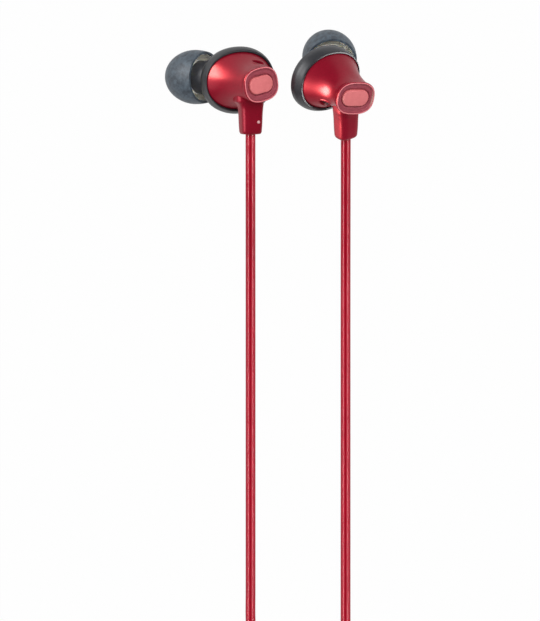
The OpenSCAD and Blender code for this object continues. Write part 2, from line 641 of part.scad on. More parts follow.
module plug_tip() color(gold) at_plug() translate([0, 0, tip_at])
    rotate_extrude() polygon([
        [0, 0], [pin_d / 2, 0], [pin_d / 2, 0.4], [pin_d / 2 - 0.45, tip_l * 0.36],
        [pin_d / 2 - 0.15, tip_l * 0.58], [pin_d / 2 - 0.3, tip_l * 0.72], [0.5, tip_l], [0, tip_l]]);

ear_tip_skirt("left");  // ear_tip_skirt_left
ear_tip_core("left");  // ear_tip_core_left
nozzle("left");  // nozzle_left
nozzle_mesh("left");  // nozzle_mesh_left
front_housing("left");  // front_housing_left
driver_baffle("left");  // driver_baffle_left
driver_rim("left");  // driver_rim_left
diaphragm("left");  // diaphragm_left
voice_coil("left");  // voice_coil_left
magnet("left");  // magnet_left
yoke("left");  // yoke_left
terminal_board("left");  // terminal_board_left
rear_shell("left");  // rear_shell_left
vent_screen("left");  // vent_screen_left
end_cap("left");  // end_cap_left
cap_pill("left");  // cap_pill_left
cord_sleeve("left");  // cord_sleeve_left
side_dot();
cord_left();
cord_left_coil();
ear_tip_skirt("right");  // ear_tip_skirt_right
ear_tip_core("right");  // ear_tip_core_right
nozzle("right");  // nozzle_right
nozzle_mesh("right");  // nozzle_mesh_right
front_housing("right");  // front_housing_right
driver_baffle("right");  // driver_baffle_right
driver_rim("right");  // driver_rim_right
diaphragm("right");  // diaphragm_right
voice_coil("right");  // voice_coil_right
magnet("right");  // magnet_right
yoke("right");  // yoke_right
terminal_board("right");  // terminal_board_right
rear_shell("right");  // rear_shell_right
vent_screen("right");  // vent_screen_right
end_cap("right");  // end_cap_right
cap_pill("right");  // cap_pill_right
cord_sleeve("right");  // cord_sleeve_right
cord_right();
cord_right_coil();
y_split();
cord_main_coil();
cord_main_tail();
plug_relief();
plug_handle();
plug_sleeve();
plug_rings();
plug_insulators();
plug_tip();
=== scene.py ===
import math

import bmesh
import bpy
import numpy as np
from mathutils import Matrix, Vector


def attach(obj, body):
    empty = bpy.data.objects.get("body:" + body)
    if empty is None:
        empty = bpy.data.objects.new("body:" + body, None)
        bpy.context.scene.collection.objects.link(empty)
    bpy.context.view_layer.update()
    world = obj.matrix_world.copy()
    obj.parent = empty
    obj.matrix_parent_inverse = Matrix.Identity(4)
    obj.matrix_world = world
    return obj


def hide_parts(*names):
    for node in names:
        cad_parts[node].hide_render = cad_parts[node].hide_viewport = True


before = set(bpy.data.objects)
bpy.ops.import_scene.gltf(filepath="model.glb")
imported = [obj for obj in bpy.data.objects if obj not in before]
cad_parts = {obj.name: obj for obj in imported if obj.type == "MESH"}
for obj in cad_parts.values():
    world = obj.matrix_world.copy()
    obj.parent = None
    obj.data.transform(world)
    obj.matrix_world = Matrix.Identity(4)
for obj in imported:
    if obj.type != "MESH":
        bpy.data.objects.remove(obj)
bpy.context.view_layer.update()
MM = 0.001
SIDES = ("left", "right")

# ---------------------------------------------------------------- sizes in millimetres, as in the solids
TIP_D, TIP_DOME, TIP_SKIRT = 12.0, 7.4, 2.5
SKIRT_WALL, MOUTH_D = 0.5, 4.6
NECK_D, TUBE_D, BARB_D, PASSAGE_D, TUBE_L = 7.4, 5.2, 5.8, 3.8, 5.2
NOZZLE_ANGLE, NOZZLE_SHIFT, NOZZLE_RISE = 29.5, -1.7, 0.45
BRIM_W, BRIM_H, BRIM_DEPTH, BRIM_SHIFT = 17.0, 14.7, 2.7, 0.3
SEAM_W, SEAM_H, SEAM_ROLL = 15.7, 12.5, 6.0
SHELL_L, CAP_SHIFT, CAP_DROP, CAP_TURN, CAP_ROLL, SHELL_WALL = 10.4, 1.0, 0.35, 13.5, 10.5, 0.9
CAP_W, CAP_H, CAP_DEPTH, LIP_W, RECESS = 9.2, 7.7, 1.5, 0.45, 0.4
PILL_L, PILL_W = 6.3, 3.8
SLEEVE_W, SLEEVE_T, SLEEVE_END, SLEEVE_Z, SLEEVE_X = 5.0, 4.2, -11.5, 5.8, 0.2
CORD_W, CORD_T, TURN_GAP, COIL_R = 2.2, 1.6, 0.45, 12.0
GAP, TIP_CLEARANCE = 0.04, 0.05
BUD_X, BUD_Y = {"left": -6.6, "right": 13.4}, {"left": 0.97, "right": 0.92}
YAW, PITCH = {"left": 22.5, "right": 38.0}, {"left": 4.0, "right": 25.0}
VENT_ANGLE = {"left": 51.0, "right": -54.0}
# The vents' slots: both ends of each in the shared frame, its half width, its depth and the lip beside it
VENT_ENDS = {"left": ((-3.75, 5.3), (-1.3, 4.7)), "right": ((10.9, -3.65), (13.6, -4.85))}
VENT_HALF, VENT_DEPTH, VENT_LIP = {"left": 0.38, "right": 0.5}, 0.9, 0.18


def sin(a):
    return math.sin(math.radians(a))


def cos(a):
    return math.cos(math.radians(a))


def smooth(t):
    """0 up to t = 0 and 1 from t = 1 on, with a smooth step between."""
    u = min(1.0, max(0.0, t))
    return u * u * (3 - 2 * u)


def bezier(p, t):
    p = [np.array(q, float) for q in p]
    return (1 - t) ** 3 * p[0] + 3 * t * (1 - t) ** 2 * p[1] + 3 * t * t * (1 - t) * p[2] + t ** 3 * p[3]


# ---------------------------------------------------------------- placing
def turn(pts, yaw, pitch):
    """Turned about Y by the yaw and then about X by the pitch."""
    p = np.array(pts, float).reshape(-1, 3)
    x = p[:, 0] * cos(yaw) + p[:, 2] * sin(yaw)
    z = -p[:, 0] * sin(yaw) + p[:, 2] * cos(yaw)
    y = p[:, 1]
    return np.stack([x, y * cos(pitch) - z * sin(pitch), y * sin(pitch) + z * cos(pitch)], 1)


def as_placed(pts, side):
    """An earbud's own frame, mirrored for the right one, turned as it lies but not yet moved."""
    p = np.array(pts, float).reshape(-1, 3).copy()
    if side == "right":
        p[:, 0] *= -1
    return turn(p, YAW[side], PITCH[side])


NOZZLE_DIR = np.array([-sin(NOZZLE_ANGLE), 0, -cos(NOZZLE_ANGLE)])
NECK_START, NECK_END, RIM_AT = 5.8, 9.3, 7.7  # distances along the nozzle's axis
RIM_INSET, BELLY_INSET, BELLY_AT = 0.28, 0.08, 0.45
TUBE_END = NECK_END + TUBE_L
WIDEST_AT = RIM_AT + TIP_SKIRT
BELLY_Z = RIM_AT + TIP_SKIRT * BELLY_AT
MOUTH_ANGLE = math.degrees(math.acos((MOUTH_D / 2 + 0.6) / (TIP_D / 2)))
APEX_AT = WIDEST_AT + TIP_DOME * sin(MOUTH_ANGLE)


def dome(depth, n=9):
    """The ear tip's outline from its rim to its mouth, sunk by a depth."""
    r, rise = TIP_D / 2 - depth, TIP_DOME - depth
    out = [(r - RIM_INSET, RIM_AT), (r - BELLY_INSET, BELLY_Z)]
    for i in range(n + 1):
        a = MOUTH_ANGLE * i / n
        out.append((r * cos(a), WIDEST_AT + rise * sin(a)))
    return out


def reach_down(side):
    """How far the ear tip reaches below the earbud's origin, so that it stands on the floor."""
    d = as_placed(NOZZLE_DIR, side)[0]
    o = as_placed([NOZZLE_SHIFT, NOZZLE_RISE, 0], side)[0]
    slope = math.sqrt(1 - d[2] ** 2)
    return -min(o[2] + b * d[2] - a * slope for a, b in dome(0))


PLACE = {s: np.array([BUD_X[s], BUD_Y[s], reach_down(s)]) for s in SIDES}


def to_bud(pts, side):
    return as_placed(pts, side) + PLACE[side]


def nozzle_frame(pts):
    """Points round the nozzle's axis, z the distance along it, into the earbud's frame."""
    p = np.array(pts, float).reshape(-1, 3)
    a = 180 + NOZZLE_ANGLE
    x = p[:, 0] * cos(a) + p[:, 2] * sin(a)
    z = -p[:, 0] * sin(a) + p[:, 2] * cos(a)
    return np.stack([x + NOZZLE_SHIFT, p[:, 1] + NOZZLE_RISE, z], 1)


# ---------------------------------------------------------------- meshes
def build(name, pts, faces, mats, body, replaces, slot, sharp=38, face_mats=None):
    """One named piece that rides a body and stands for the CAD nodes that it replaces."""
    me = bpy.data.meshes.new(name)
    me.from_pydata([tuple(p) for p in np.array(pts) * MM], [], faces)
    for m in (mats if isinstance(mats, (list, tuple)) else [mats]):
        me.materials.append(m)
    if face_mats is not None:
        me.polygons.foreach_set("material_index", face_mats)
    me.validate()
    bm = bmesh.new()
    bm.from_mesh(me)
    bmesh.ops.remove_doubles(bm, verts=bm.verts, dist=1e-7)
    bmesh.ops.recalc_face_normals(bm, faces=bm.faces)
    bm.to_mesh(me)
    bm.free()
    me.polygons.foreach_set("use_smooth", [True] * len(me.polygons))
    me.set_sharp_from_angle(angle=math.radians(sharp))
    ob = bpy.data.objects.new(name, me)
    bpy.context.scene.collection.objects.link(ob)
    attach(ob, body)
    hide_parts(*replaces)
    return ob


def loft_faces(n_rings, sides, closed=False, caps=True):
    """Faces between rings of points: closed joins the last ring to the first, caps fill both ends."""
    f = []
    for k in range(n_rings if closed else n_rings - 1):
        up = (k + 1) % n_rings
        for i in range(sides):
            j = (i + 1) % sides
            f.append((k * sides + i, up * sides + i, up * sides + j, k * sides + j))
    if caps and not closed:
        f.append(tuple(range(sides)))
        f.append(tuple((n_rings - 1) * sides + i for i in range(sides - 1, -1, -1)))
    return f


def loft(name, rings, mat, body, closed=False, caps=True, **kw):
    sides = len(rings[0])
    pts = np.concatenate([np.array(r, float) for r in rings])
    return build(name, pts, loft_faces(len(rings), sides, closed, caps), mat, body, **kw)


def revolve(name, profile, side, mat, body, segs=120, **kw):
    """A closed outline (radius, distance along the nozzle) turned round the nozzle's axis."""
    rings = []
    for r, z in profile:
        r = max(r, 1e-4)
        rings.append([(r * cos(360 * i / segs), r * sin(360 * i / segs), z) for i in range(segs)])
    rings = [to_bud(nozzle_frame(r), side) for r in rings]
    return loft(name, rings, mat, body, closed=True, **kw)


def round_outline(pts, radii, n=5):
    """A closed outline with its corners rounded: radii gives each corner's radius, 0 for none."""
    out, m = [], len(pts)
    pts = [np.array(p, float) for p in pts]
    for i, r in enumerate(radii):
        p, a, b = pts[i], pts[i - 1], pts[(i + 1) % m]
        if r <= 0:
            out.append(tuple(p))
            continue
        u, v = (a - p), (b - p)
        lu, lv = np.linalg.norm(u), np.linalg.norm(v)
        d = min(r, lu * 0.45, lv * 0.45)
        s, e = p + u / lu * d, p + v / lv * d
        for k in range(n + 1):
            t = k / n
            out.append(tuple((1 - t) ** 2 * s + 2 * t * (1 - t) * p + t * t * e))
    return out


def oval(a, b, power, roll=0.0, sides=128):
    """Superellipse: power 2 is an ellipse, and more is squarer."""
    out = []
    for i in range(sides):
        t = 360 * (i + 0.5) / sides
        c, s = cos(t), sin(t)
        x = a * math.copysign(abs(c) ** (2 / power), c)
        y = b * math.copysign(abs(s) ** (2 / power), s)
        out.append((x * cos(roll) - y * sin(roll), x * sin(roll) + y * cos(roll)))
    return np.array(out)


def set_ring(ring, place, ang):
    """A flat ring set at a place and turned about Y."""
    return np.array([(place[0] + p[0] * cos(ang), place[1] + p[1], place[2] - p[0] * sin(ang)) for p in ring])


def catmull(pts, n):
    """A smooth curve through the points, with n steps between each two."""
    pts = [np.array(p, float) for p in pts]
    out = []
    for i in range(len(pts) - 1):
        p1, p2 = pts[i], pts[i + 1]
        p0 = pts[i - 1] if i else 2 * p1 - p2
        p3 = pts[i + 2] if i + 2 < len(pts) else 2 * p2 - p1
        for k in range(n):
            t = k / n
            out.append(0.5 * (2 * p1 + (p2 - p0) * t + (2 * p0 - 5 * p1 + 4 * p2 - p3) * t * t
                              + (3 * p1 - p0 - 3 * p2 + p3) * t ** 3))
    out.append(pts[-1])
    return out


# ---------------------------------------------------------------- materials
def node_mat(name, base, rough, metallic=0.0, **sock):
    m = bpy.data.materials.new(name)
    m.use_nodes = True
    b = m.node_tree.nodes["Principled BSDF"]
    b.inputs["Base Color"].default_value = (*base, 1)
    b.inputs["Roughness"].default_value = rough
    b.inputs["Metallic"].default_value = metallic
    for k, v in sock.items():
        b.inputs[k.replace("_", " ")].default_value = v
    return m, m.node_tree, b


def linear(c):
    c = c / 255
    return c / 12.92 if c <= 0.04045 else ((c + 0.055) / 1.055) ** 2.4


def srgb(r, g, b):
    return linear(r), linear(g), linear(b)


def coords(nt):
    return nt.nodes.new("ShaderNodeTexCoord").outputs["Object"]


def noise(nt, vec, scale, detail=3.0, rough=0.5):
    n = nt.nodes.new("ShaderNodeTexNoise")
    n.inputs["Scale"].default_value = scale
    n.inputs["Detail"].default_value = detail
    n.inputs["Roughness"].default_value = rough
    nt.links.new(vec, n.inputs["Vector"])
    return n.outputs["Fac"]


def ramp(nt, fac, stops):
    r = nt.nodes.new("ShaderNodeValToRGB")
    while len(r.color_ramp.elements) < len(stops):
        r.color_ramp.elements.new(0.5)
    for e, (pos, col) in zip(r.color_ramp.elements, stops):
        e.position = pos
        e.color = (*col, 1)
    nt.links.new(fac, r.inputs["Fac"])
    return r.outputs["Color"]


def span(nt, fac, lo, hi):
    """A factor from 0 to 1 spread over lo to hi."""
    r = nt.nodes.new("ShaderNodeMapRange")
    r.inputs["To Min"].default_value = lo
    r.inputs["To Max"].default_value = hi
    nt.links.new(fac, r.inputs["Value"])
    return r.outputs["Result"]


def bump(nt, b, height, strength, distance):
    n = nt.nodes.new("ShaderNodeBump")
    n.inputs["Strength"].default_value = strength
    n.inputs["Distance"].default_value = distance
    nt.links.new(height, n.inputs["Height"])
    nt.links.new(n.outputs["Normal"], b.inputs["Normal"])


def candy(name, deep, lit, rough=0.38, metallic=0.24, coat=0.27):
    """Metallic lacquer: fine flake in colour and roughness under a clear coat."""
    m, nt, b = node_mat(name, deep, rough, metallic, Coat_Weight=coat, Coat_Roughness=0.26, Coat_IOR=1.45,
                        Specular_IOR_Level=0.15, Specular_Tint=(1.0, 0.4, 0.42, 1.0))
    v = coords(nt)
    flake = noise(nt, v, 5200, 1.0)
    cloud = noise(nt, v, 260, 3.0)
    mix = nt.nodes.new("ShaderNodeMath")
    mix.operation = "MULTIPLY_ADD"
    nt.links.new(flake, mix.inputs[0])
    mix.inputs[1].default_value = 0.55
    nt.links.new(span(nt, cloud, -0.05, 0.2), mix.inputs[2])
    nt.links.new(ramp(nt, mix.outputs[0], [(0.2, deep), (0.62, lit)]), b.inputs["Base Color"])
    nt.links.new(span(nt, cloud, rough - 0.03, rough + 0.05), b.inputs["Roughness"])
    bump(nt, b, flake, 0.04, 0.00004)
    return m


def moulded(name, base, dark, rough, scale=3800, depth=0.00003, strength=0.25, **sock):
    """Moulded plastic or silicone: faint mottling and a fine spark-eroded grain."""
    m, nt, b = node_mat(name, base, rough, 0.0, **sock)
    v = coords(nt)
    cloud = noise(nt, v, 900, 5.0, 0.65)
    grain = noise(nt, v, scale, 2.0)
    nt.links.new(ramp(nt, cloud, [(0.36, dark), (0.64, base)]), b.inputs["Base Color"])
    nt.links.new(span(nt, cloud, rough - 0.05, rough + 0.06), b.inputs["Roughness"])
    bump(nt, b, grain, strength, depth)
    return m


M = {}
M["shell_red"] = candy("shell_red", srgb(142, 10, 36), srgb(164, 14, 46))
M["cord_red"] = moulded("cord_red", srgb(184, 10, 44), srgb(172, 6, 38), 0.3, 2600, 0.00002, 0.15,
                        Specular_IOR_Level=0.25)
M["housing_grey"] = moulded("housing_grey", srgb(46, 47, 52), srgb(38, 39, 44), 0.42)
M["tip_slate"] = moulded("tip_slate", srgb(86, 100, 112), srgb(50, 58, 68), 0.5, 2200, 0.00003, 0.2)
M["core_cream"] = moulded("core_cream", srgb(246, 244, 236), srgb(238, 236, 226), 0.5, 2200,
                          Subsurface_Weight=0.15, Subsurface_Radius=(0.001, 0.0008, 0.0005))
M["recess_red"] = moulded("recess_red", srgb(166, 70, 84), srgb(152, 60, 74), 0.5, 5200, 0.00002, 0.15)
# The cap lip's crest is a paler pink band: a painted highlight along the lip.
M["lip_painted_highlight"] = candy("lip_painted_highlight", srgb(242, 130, 138), srgb(250, 156, 160), 0.4, 0.1, 0.3)
M["pill_pink"] = moulded("pill_pink", srgb(234, 126, 128), srgb(228, 119, 122), 0.6, 5200, 0.00002, 0.15)
M["dot_pink"] = moulded("dot_pink", srgb(240, 190, 190), srgb(232, 176, 178), 0.35)
M["vent_black"] = moulded("vent_black", srgb(26, 12, 16), srgb(16, 8, 10), 0.7)
M["mesh_steel"] = node_mat("mesh_steel", (0.5, 0.5, 0.52), 0.35, 1.0)[0]
M["plug_gold"] = node_mat("plug_gold", srgb(226, 186, 96), 0.22, 1.0)[0]


def mesh_wire():
    """Woven wire mesh of the sound tube's mouth: two crossed waves, with painted shade, near black, where
    both are low, standing for the openings.
    """
    m, nt, b = node_mat("tube_mesh", (0.46, 0.47, 0.5), 0.38, 1.0)
    v = coords(nt)
    waves = []
    for d in ("X", "Y"):
        w = nt.nodes.new("ShaderNodeTexWave")
        w.bands_direction = d
        w.inputs["Scale"].default_value = 1400
        nt.links.new(v, w.inputs["Vector"])
        waves.append(w.outputs["Fac"])
    mx = nt.nodes.new("ShaderNodeMath")
    mx.operation = "MAXIMUM"
    nt.links.new(waves[0], mx.inputs[0])
    nt.links.new(waves[1], mx.inputs[1])
    # near black at the low end: painted shade for the mesh's openings
    nt.links.new(ramp(nt, mx.outputs[0], [(0.45, (0.02, 0.02, 0.02)), (0.6, (0.5, 0.51, 0.54))]),
                 b.inputs["Base Color"])
    bump(nt, b, mx.outputs[0], 0.6, 0.0001)
    return m


M["tube_mesh"] = mesh_wire()

# ---------------------------------------------------------------- earbuds
AXIS_FLAT = np.array([NOZZLE_DIR[0], NOZZLE_DIR[2]])
AXIS_SIDE = np.array([cos(NOZZLE_ANGLE), -sin(NOZZLE_ANGLE)])
NECK_MID = np.array([NOZZLE_SHIFT, 0]) + AXIS_FLAT * NECK_START
NECK_LEFT, NECK_RIGHT = NECK_MID - AXIS_SIDE * NECK_D / 2, NECK_MID + AXIS_SIDE * NECK_D / 2
SEAM_A, SEAM_B = SEAM_W / 2, SEAM_H / 2
MOUTH_R, MOUTH_IN = MOUTH_D / 2, APEX_AT - 0.9
LINING, CAVITY_END, DOME_STEPS = 0.65, 11.85, 28
LEDGE_Z, LIP_Z = -0.75, 0.25
SEAM_POWER, HORN_POWER_GAIN = 2.1, 0.35


def edge_ring(left, right, half_h, rise, power, roll):
    """An oval between two points of the X-Z plane."""
    mid, sp = (left + right) / 2, right - left
    return set_ring(oval(np.linalg.norm(sp) / 2, half_h, power, roll), [mid[0], rise, mid[1]],
                    math.degrees(math.atan2(-sp[1], sp[0])))


def bowl_outer(t):
    """The front housing's outside from the rim (t = 0) to the nozzle's collar (t = 1)."""
    x0, x1 = BRIM_SHIFT - BRIM_W / 2, BRIM_SHIFT + BRIM_W / 2
    left = bezier([[x0, -BRIM_DEPTH], [x0, -BRIM_DEPTH - 0.6], NECK_LEFT - AXIS_FLAT * 0.8, NECK_LEFT], t)
    right = bezier([[x1, -BRIM_DEPTH], [x1, -BRIM_DEPTH - 1.8], NECK_RIGHT - AXIS_FLAT * 3, NECK_RIGHT], t)
    h = bezier([BRIM_H / 2, BRIM_H / 2 - 0.1, NECK_D / 2 + 0.5, NECK_D / 2], t)
    return edge_ring(left, right, float(h), NOZZLE_RISE * smooth(t), SEAM_POWER - 0.1 * t,
                     SEAM_ROLL * (1 - t))


def flat_ring(a, b, z, shift=0.0, sides=128):
    return set_ring(oval(a, b, SEAM_POWER, SEAM_ROLL, sides), [shift, 0, z], 0)


CAP_NORMAL = np.array([sin(CAP_TURN), 0, cos(CAP_TURN)])
CAP_MID = np.array([CAP_SHIFT, -CAP_DROP, SHELL_L])
SHELL_END = CAP_MID - CAP_DEPTH * CAP_NORMAL
END_A, END_B = CAP_W / 2 - 0.25, CAP_H / 2 - 0.2
HORN_FLARE, HORN_SIDES = 2.3, 200
NO_PIT = [False] * HORN_SIDES
VENT_REACH, VENT_EDGE, VENT_LIP_AT, VENT_LIP_W = 45, 0.07, 0.12, 0.13


def horn_mid(t):
    return bezier([[0, 0, 0], [0.3, 0, SHELL_L * 0.35], SHELL_END - 3 * CAP_NORMAL, SHELL_END], t)


def horn_oval(t, wall):
    """The horn's section at t in its own plane, drawn in by a wall."""
    share = (1 - t) ** HORN_FLARE
    a, b = END_A + (SEAM_A - END_A) * share, END_B + (SEAM_B - END_B) * share
    roll = SEAM_ROLL + (CAP_ROLL - SEAM_ROLL) * smooth(t)
    return oval(a - wall, b - wall, SEAM_POWER + HORN_POWER_GAIN * t, roll, HORN_SIDES)


def horn_ring(t, side, wall=0.0):
    """The horn's section at t in place."""
    return to_bud(set_ring(horn_oval(t, wall), horn_mid(t), CAP_TURN * smooth(t)), side)


def wrap(a):
    return (a + 180) % 360 - 180


def vented_ring(t, side):
    """The horn's section at t with the vent's slot sunk in it and a lip on the slot's cap side."""
    ring = horn_ring(t, side)
    if not 0.02 < t < 0.7:
        return ring, NO_PIT
    local = horn_oval(t, 0.0)
    mid = to_bud([horn_mid(t)], side)[0]
    cap = to_bud([CAP_MID], side)[0][:2]
    p0, p1 = (np.array(q) for q in VENT_ENDS[side])
    length = np.linalg.norm(p1 - p0)
    along = (p1 - p0) / length
    over = np.array([-along[1], along[0]])
    if np.dot(cap - p0, over) < 0:
        over = -over
    pit = []
    for i, p in enumerate(ring):
        away = abs(wrap(math.degrees(math.atan2(local[i][1], local[i][0])) - VENT_ANGLE[side]))
        u = np.dot(p[:2] - p0, along) / length
        d = np.dot(p[:2] - p0, over)
        half = VENT_HALF[side] * math.sqrt(max(0.0, 1 - (2 * u - 1) ** 2))
        dip = lift = 0.0
        if away < VENT_REACH and half > 0:
            dip = VENT_DEPTH * smooth((half - abs(d)) / VENT_EDGE)
            bulge = math.exp(-((d - half - VENT_LIP_AT) / VENT_LIP_W) ** 2)
            lift = VENT_LIP * smooth(half / VENT_HALF[side]) * bulge
        inward = (mid - p) / np.linalg.norm(mid - p)
        ring[i] = p + inward * (dip - lift)
        pit.append(dip > 0.25 * VENT_DEPTH)
    return ring, pit


def rear_shell(side):
    whole, finer = np.linspace(0, 1, 61), np.linspace(0.1, 0.5, 61)
    outside = [vented_ring(t, side) for t in sorted({round(x, 4) for x in [*whole, *finer]})]
    inside = [horn_ring(t, side, SHELL_WALL) for t in reversed(np.linspace(0, 1, 9))]
    first = flat_ring(SEAM_A, SEAM_B, LEDGE_Z, 0.0, HORN_SIDES)
    last = flat_ring(SEAM_A - SHELL_WALL, SEAM_B - SHELL_WALL, LEDGE_Z, 0.0, HORN_SIDES)
    rings = [to_bud(first, side)] + [r for r, _ in outside] + inside + [to_bud(last, side)]
    pits = [NO_PIT] + [pit for _, pit in outside] + [NO_PIT] * (len(inside) + 1)
    n = len(rings)
    face_mats = [int(pits[k][i] and pits[(k + 1) % n][i] and pits[k][(i + 1) % HORN_SIDES])
                 for k in range(n) for i in range(HORN_SIDES)]
    build("shell_" + side, np.concatenate(rings), loft_faces(n, HORN_SIDES, True),
          [M["shell_red"], M["vent_black"]], "earphones", ["rear_shell_" + side, "vent_screen_" + side],
          "shell_red", sharp=50, face_mats=face_mats)


def front_housing(side):
    rings = [bowl_outer(t) for t in reversed(np.linspace(0, 1, 26))]
    levels = [  # z, half width, half height, shift: from the bowl's edge up to the lip
        (-BRIM_DEPTH * 0.6, BRIM_W / 2 + 0.05, BRIM_H / 2 + 0.05, BRIM_SHIFT),
        (-BRIM_DEPTH * 0.25, BRIM_W / 2 - 0.15, BRIM_H / 2 - 0.15, BRIM_SHIFT * 0.8),
        (LIP_Z - 0.1, SEAM_A + 0.35, SEAM_B + 0.55, BRIM_SHIFT * 0.4),
        (LIP_Z, SEAM_A + 0.15, SEAM_B + 0.25, 0.0)]
    keys = [(-BRIM_DEPTH, BRIM_W / 2, BRIM_H / 2, BRIM_SHIFT)] + levels
    for z, a, b, sh in catmull(keys, 8)[1:]:
        rings.append(flat_ring(a, b, z, sh))
    for grow, z in ((0.1, LIP_Z - 0.01), (0.06, LIP_Z - 0.04), (GAP, LIP_Z - 0.1), (GAP, LEDGE_Z)):
        rings.append(flat_ring(SEAM_A + grow, SEAM_B + grow, z))
    rings = [to_bud(r, side) for r in rings]
    loft("front_" + side, rings, M["housing_grey"], "earphones", caps=False,
         replaces=["front_housing_" + side], slot="housing_grey", sharp=50)


def nozzle(side):
    passage, seat = PASSAGE_D / 2, PASSAGE_D / 2 + 0.35
    prof = round_outline(
        [(passage, NECK_START), (NECK_D / 2, NECK_START), (NECK_D / 2, NECK_END), (TUBE_D / 2, NECK_END),
         (TUBE_D / 2, TUBE_END - 1.9), (BARB_D / 2, TUBE_END - 1.6), (TUBE_D / 2 - 0.1, TUBE_END),
         (seat, TUBE_END), (seat, TUBE_END - 0.5), (passage, TUBE_END - 0.5)],
        [0, 0, 0.4, 0.08, 0.1, 0.15, 0.15, 0.06, 0, 0])
    revolve("nozzle_part_" + side, prof, side, M["housing_grey"], "earphones",
            replaces=["nozzle_" + side], slot="housing_grey")


def ear_tip(side):
    body = "ear_tip_" + side
    inner = dome(SKIRT_WALL, DOME_STEPS)
    mouth = [(MOUTH_R + 0.25, APEX_AT + 0.12), (MOUTH_R + 0.08, APEX_AT + 0.05), (MOUTH_R, APEX_AT - 0.15),
             (MOUTH_R, MOUTH_IN)]
    revolve("tip_skirt_" + side, dome(0, DOME_STEPS) + mouth + inner[::-1], side, M["tip_slate"], body,
            replaces=["ear_tip_skirt_" + side], slot="tip_slate")
    bore, neck = BARB_D / 2 + TIP_CLEARANCE, NECK_D / 2
    lining = [(TIP_D / 2 - SKIRT_WALL - 0.12, RIM_AT + 0.6)] + [p for p in inner if p[1] >= BELLY_Z - 1e-6]
    wall = TIP_D / 2 - SKIRT_WALL - LINING
    # mouth, bore and the tube's foot, then the ring cavity's bottom and its outer wall
    core = lining + [
        (MOUTH_R, MOUTH_IN), (MOUTH_R, TUBE_END + 0.35), (bore, TUBE_END + 0.35),
        (bore, NECK_END + GAP), (neck, NECK_END + GAP), (neck + 0.02, CAVITY_END - 0.45),
        (neck + 0.15, CAVITY_END - 0.1), (neck + 0.5, CAVITY_END), (wall - 0.35, CAVITY_END - 0.55),
        (wall - 0.08, CAVITY_END - 1.25), (wall, CAVITY_END - 2.05), (wall + 0.05, RIM_AT + 0.9),
        (wall + 0.2, RIM_AT + 0.62)]
    revolve("tip_core_" + side, core, side, M["core_cream"], body,
            replaces=["ear_tip_core_" + side], slot="core_cream")


CAP_SIDES = 144
SIDE, PAINTED_LIP, FLOOR_OF_CAP = 0, 1, 2  # the end cap's materials, by slot; the lip's slot is a pale band painted as a highlight


def at_cap(pts, side):
    """The end cap's own frame, with Z out of its lip, into place."""
    p = np.array(pts, float).reshape(-1, 3)
    x = p[:, 0] * cos(CAP_ROLL) - p[:, 1] * sin(CAP_ROLL)
    y = p[:, 0] * sin(CAP_ROLL) + p[:, 1] * cos(CAP_ROLL)
    z = p[:, 2]
    q = np.stack([x * cos(CAP_TURN) + z * sin(CAP_TURN), y, -x * sin(CAP_TURN) + z * cos(CAP_TURN)], 1)
    return to_bud(q + CAP_MID, side)


def cap_ring(inset, z):
    return [(p[0], p[1], z) for p in oval(CAP_W / 2 - inset, CAP_H / 2 - inset, 2.6, 0, CAP_SIDES)]


def pill_ring(grow, z):
    half, r = (PILL_L - PILL_W) / 2, PILL_W / 2 + grow
    out = []
    for i in range(CAP_SIDES):
        t = 360 * (i + 0.5) / CAP_SIDES
        out.append((r * cos(t) + half * math.copysign(1, cos(t)), r * sin(t), z))
    return out


def end_cap(side):
    rings = [[(p[0], p[1], -CAP_DEPTH) for p in oval(END_A, END_B, 2.45, 0, CAP_SIDES)]]
    kinds = [SIDE]
    levels = [  # inset from the cap's outline, height, and the material of the faces up to the next level
        (0.25, -CAP_DEPTH + 0.3, SIDE), (0.12, -1.0, SIDE), (0.05, -0.7, SIDE), (0.0, -0.4, SIDE),
        # the crest faces that follow the two lip levels take the lip's painted highlight
        (0.01, -0.24, SIDE), (0.05, -0.12, SIDE), (0.11, -0.04, PAINTED_LIP), (0.22, 0.0, PAINTED_LIP),
        (0.32, -0.02, FLOOR_OF_CAP), (0.42, -0.08, FLOOR_OF_CAP), (LIP_W + 0.03, -0.18, FLOOR_OF_CAP),
        (LIP_W + 0.08, -RECESS + 0.05, FLOOR_OF_CAP), (LIP_W + 0.16, -RECESS, FLOOR_OF_CAP)]
    for inset, z, kind in levels:
        rings.append(cap_ring(inset, z))
        kinds.append(kind)
    edge, groove = np.array(rings[-1]), np.array(pill_ring(0.36, -RECESS))
    rings += [edge + (groove - edge) * t for t in (0.34, 0.67)]
    for grow, z in ((0.36, -RECESS), (0.3, -RECESS - 0.06), (0.27, -RECESS - 0.3)):
        rings.append(pill_ring(grow, z))
    n = len(rings)
    kinds += [FLOOR_OF_CAP] * (n - len(kinds))
    face_mats = [kind for kind in kinds[:-1] for i in range(CAP_SIDES)] + [SIDE, FLOOR_OF_CAP]
    build("cap_" + side, at_cap(np.concatenate([np.array(r) for r in rings]), side), loft_faces(n, CAP_SIDES),
          [M["shell_red"], M["lip_painted_highlight"], M["recess_red"]], "earphones", ["end_cap_" + side], "recess_red",
          sharp=60, face_mats=face_mats)
    pill = ((0.0, -RECESS - 0.3), (0.0, -0.26), (-0.03, -0.15), (-0.1, -0.07), (-0.2, -0.025), (-0.34, 0.0))
    loft("pill_" + side, [at_cap(pill_ring(g, z), side) for g, z in pill], M["pill_pink"], "earphones",
         replaces=["cap_pill_" + side], slot="pill_pink", sharp=60)


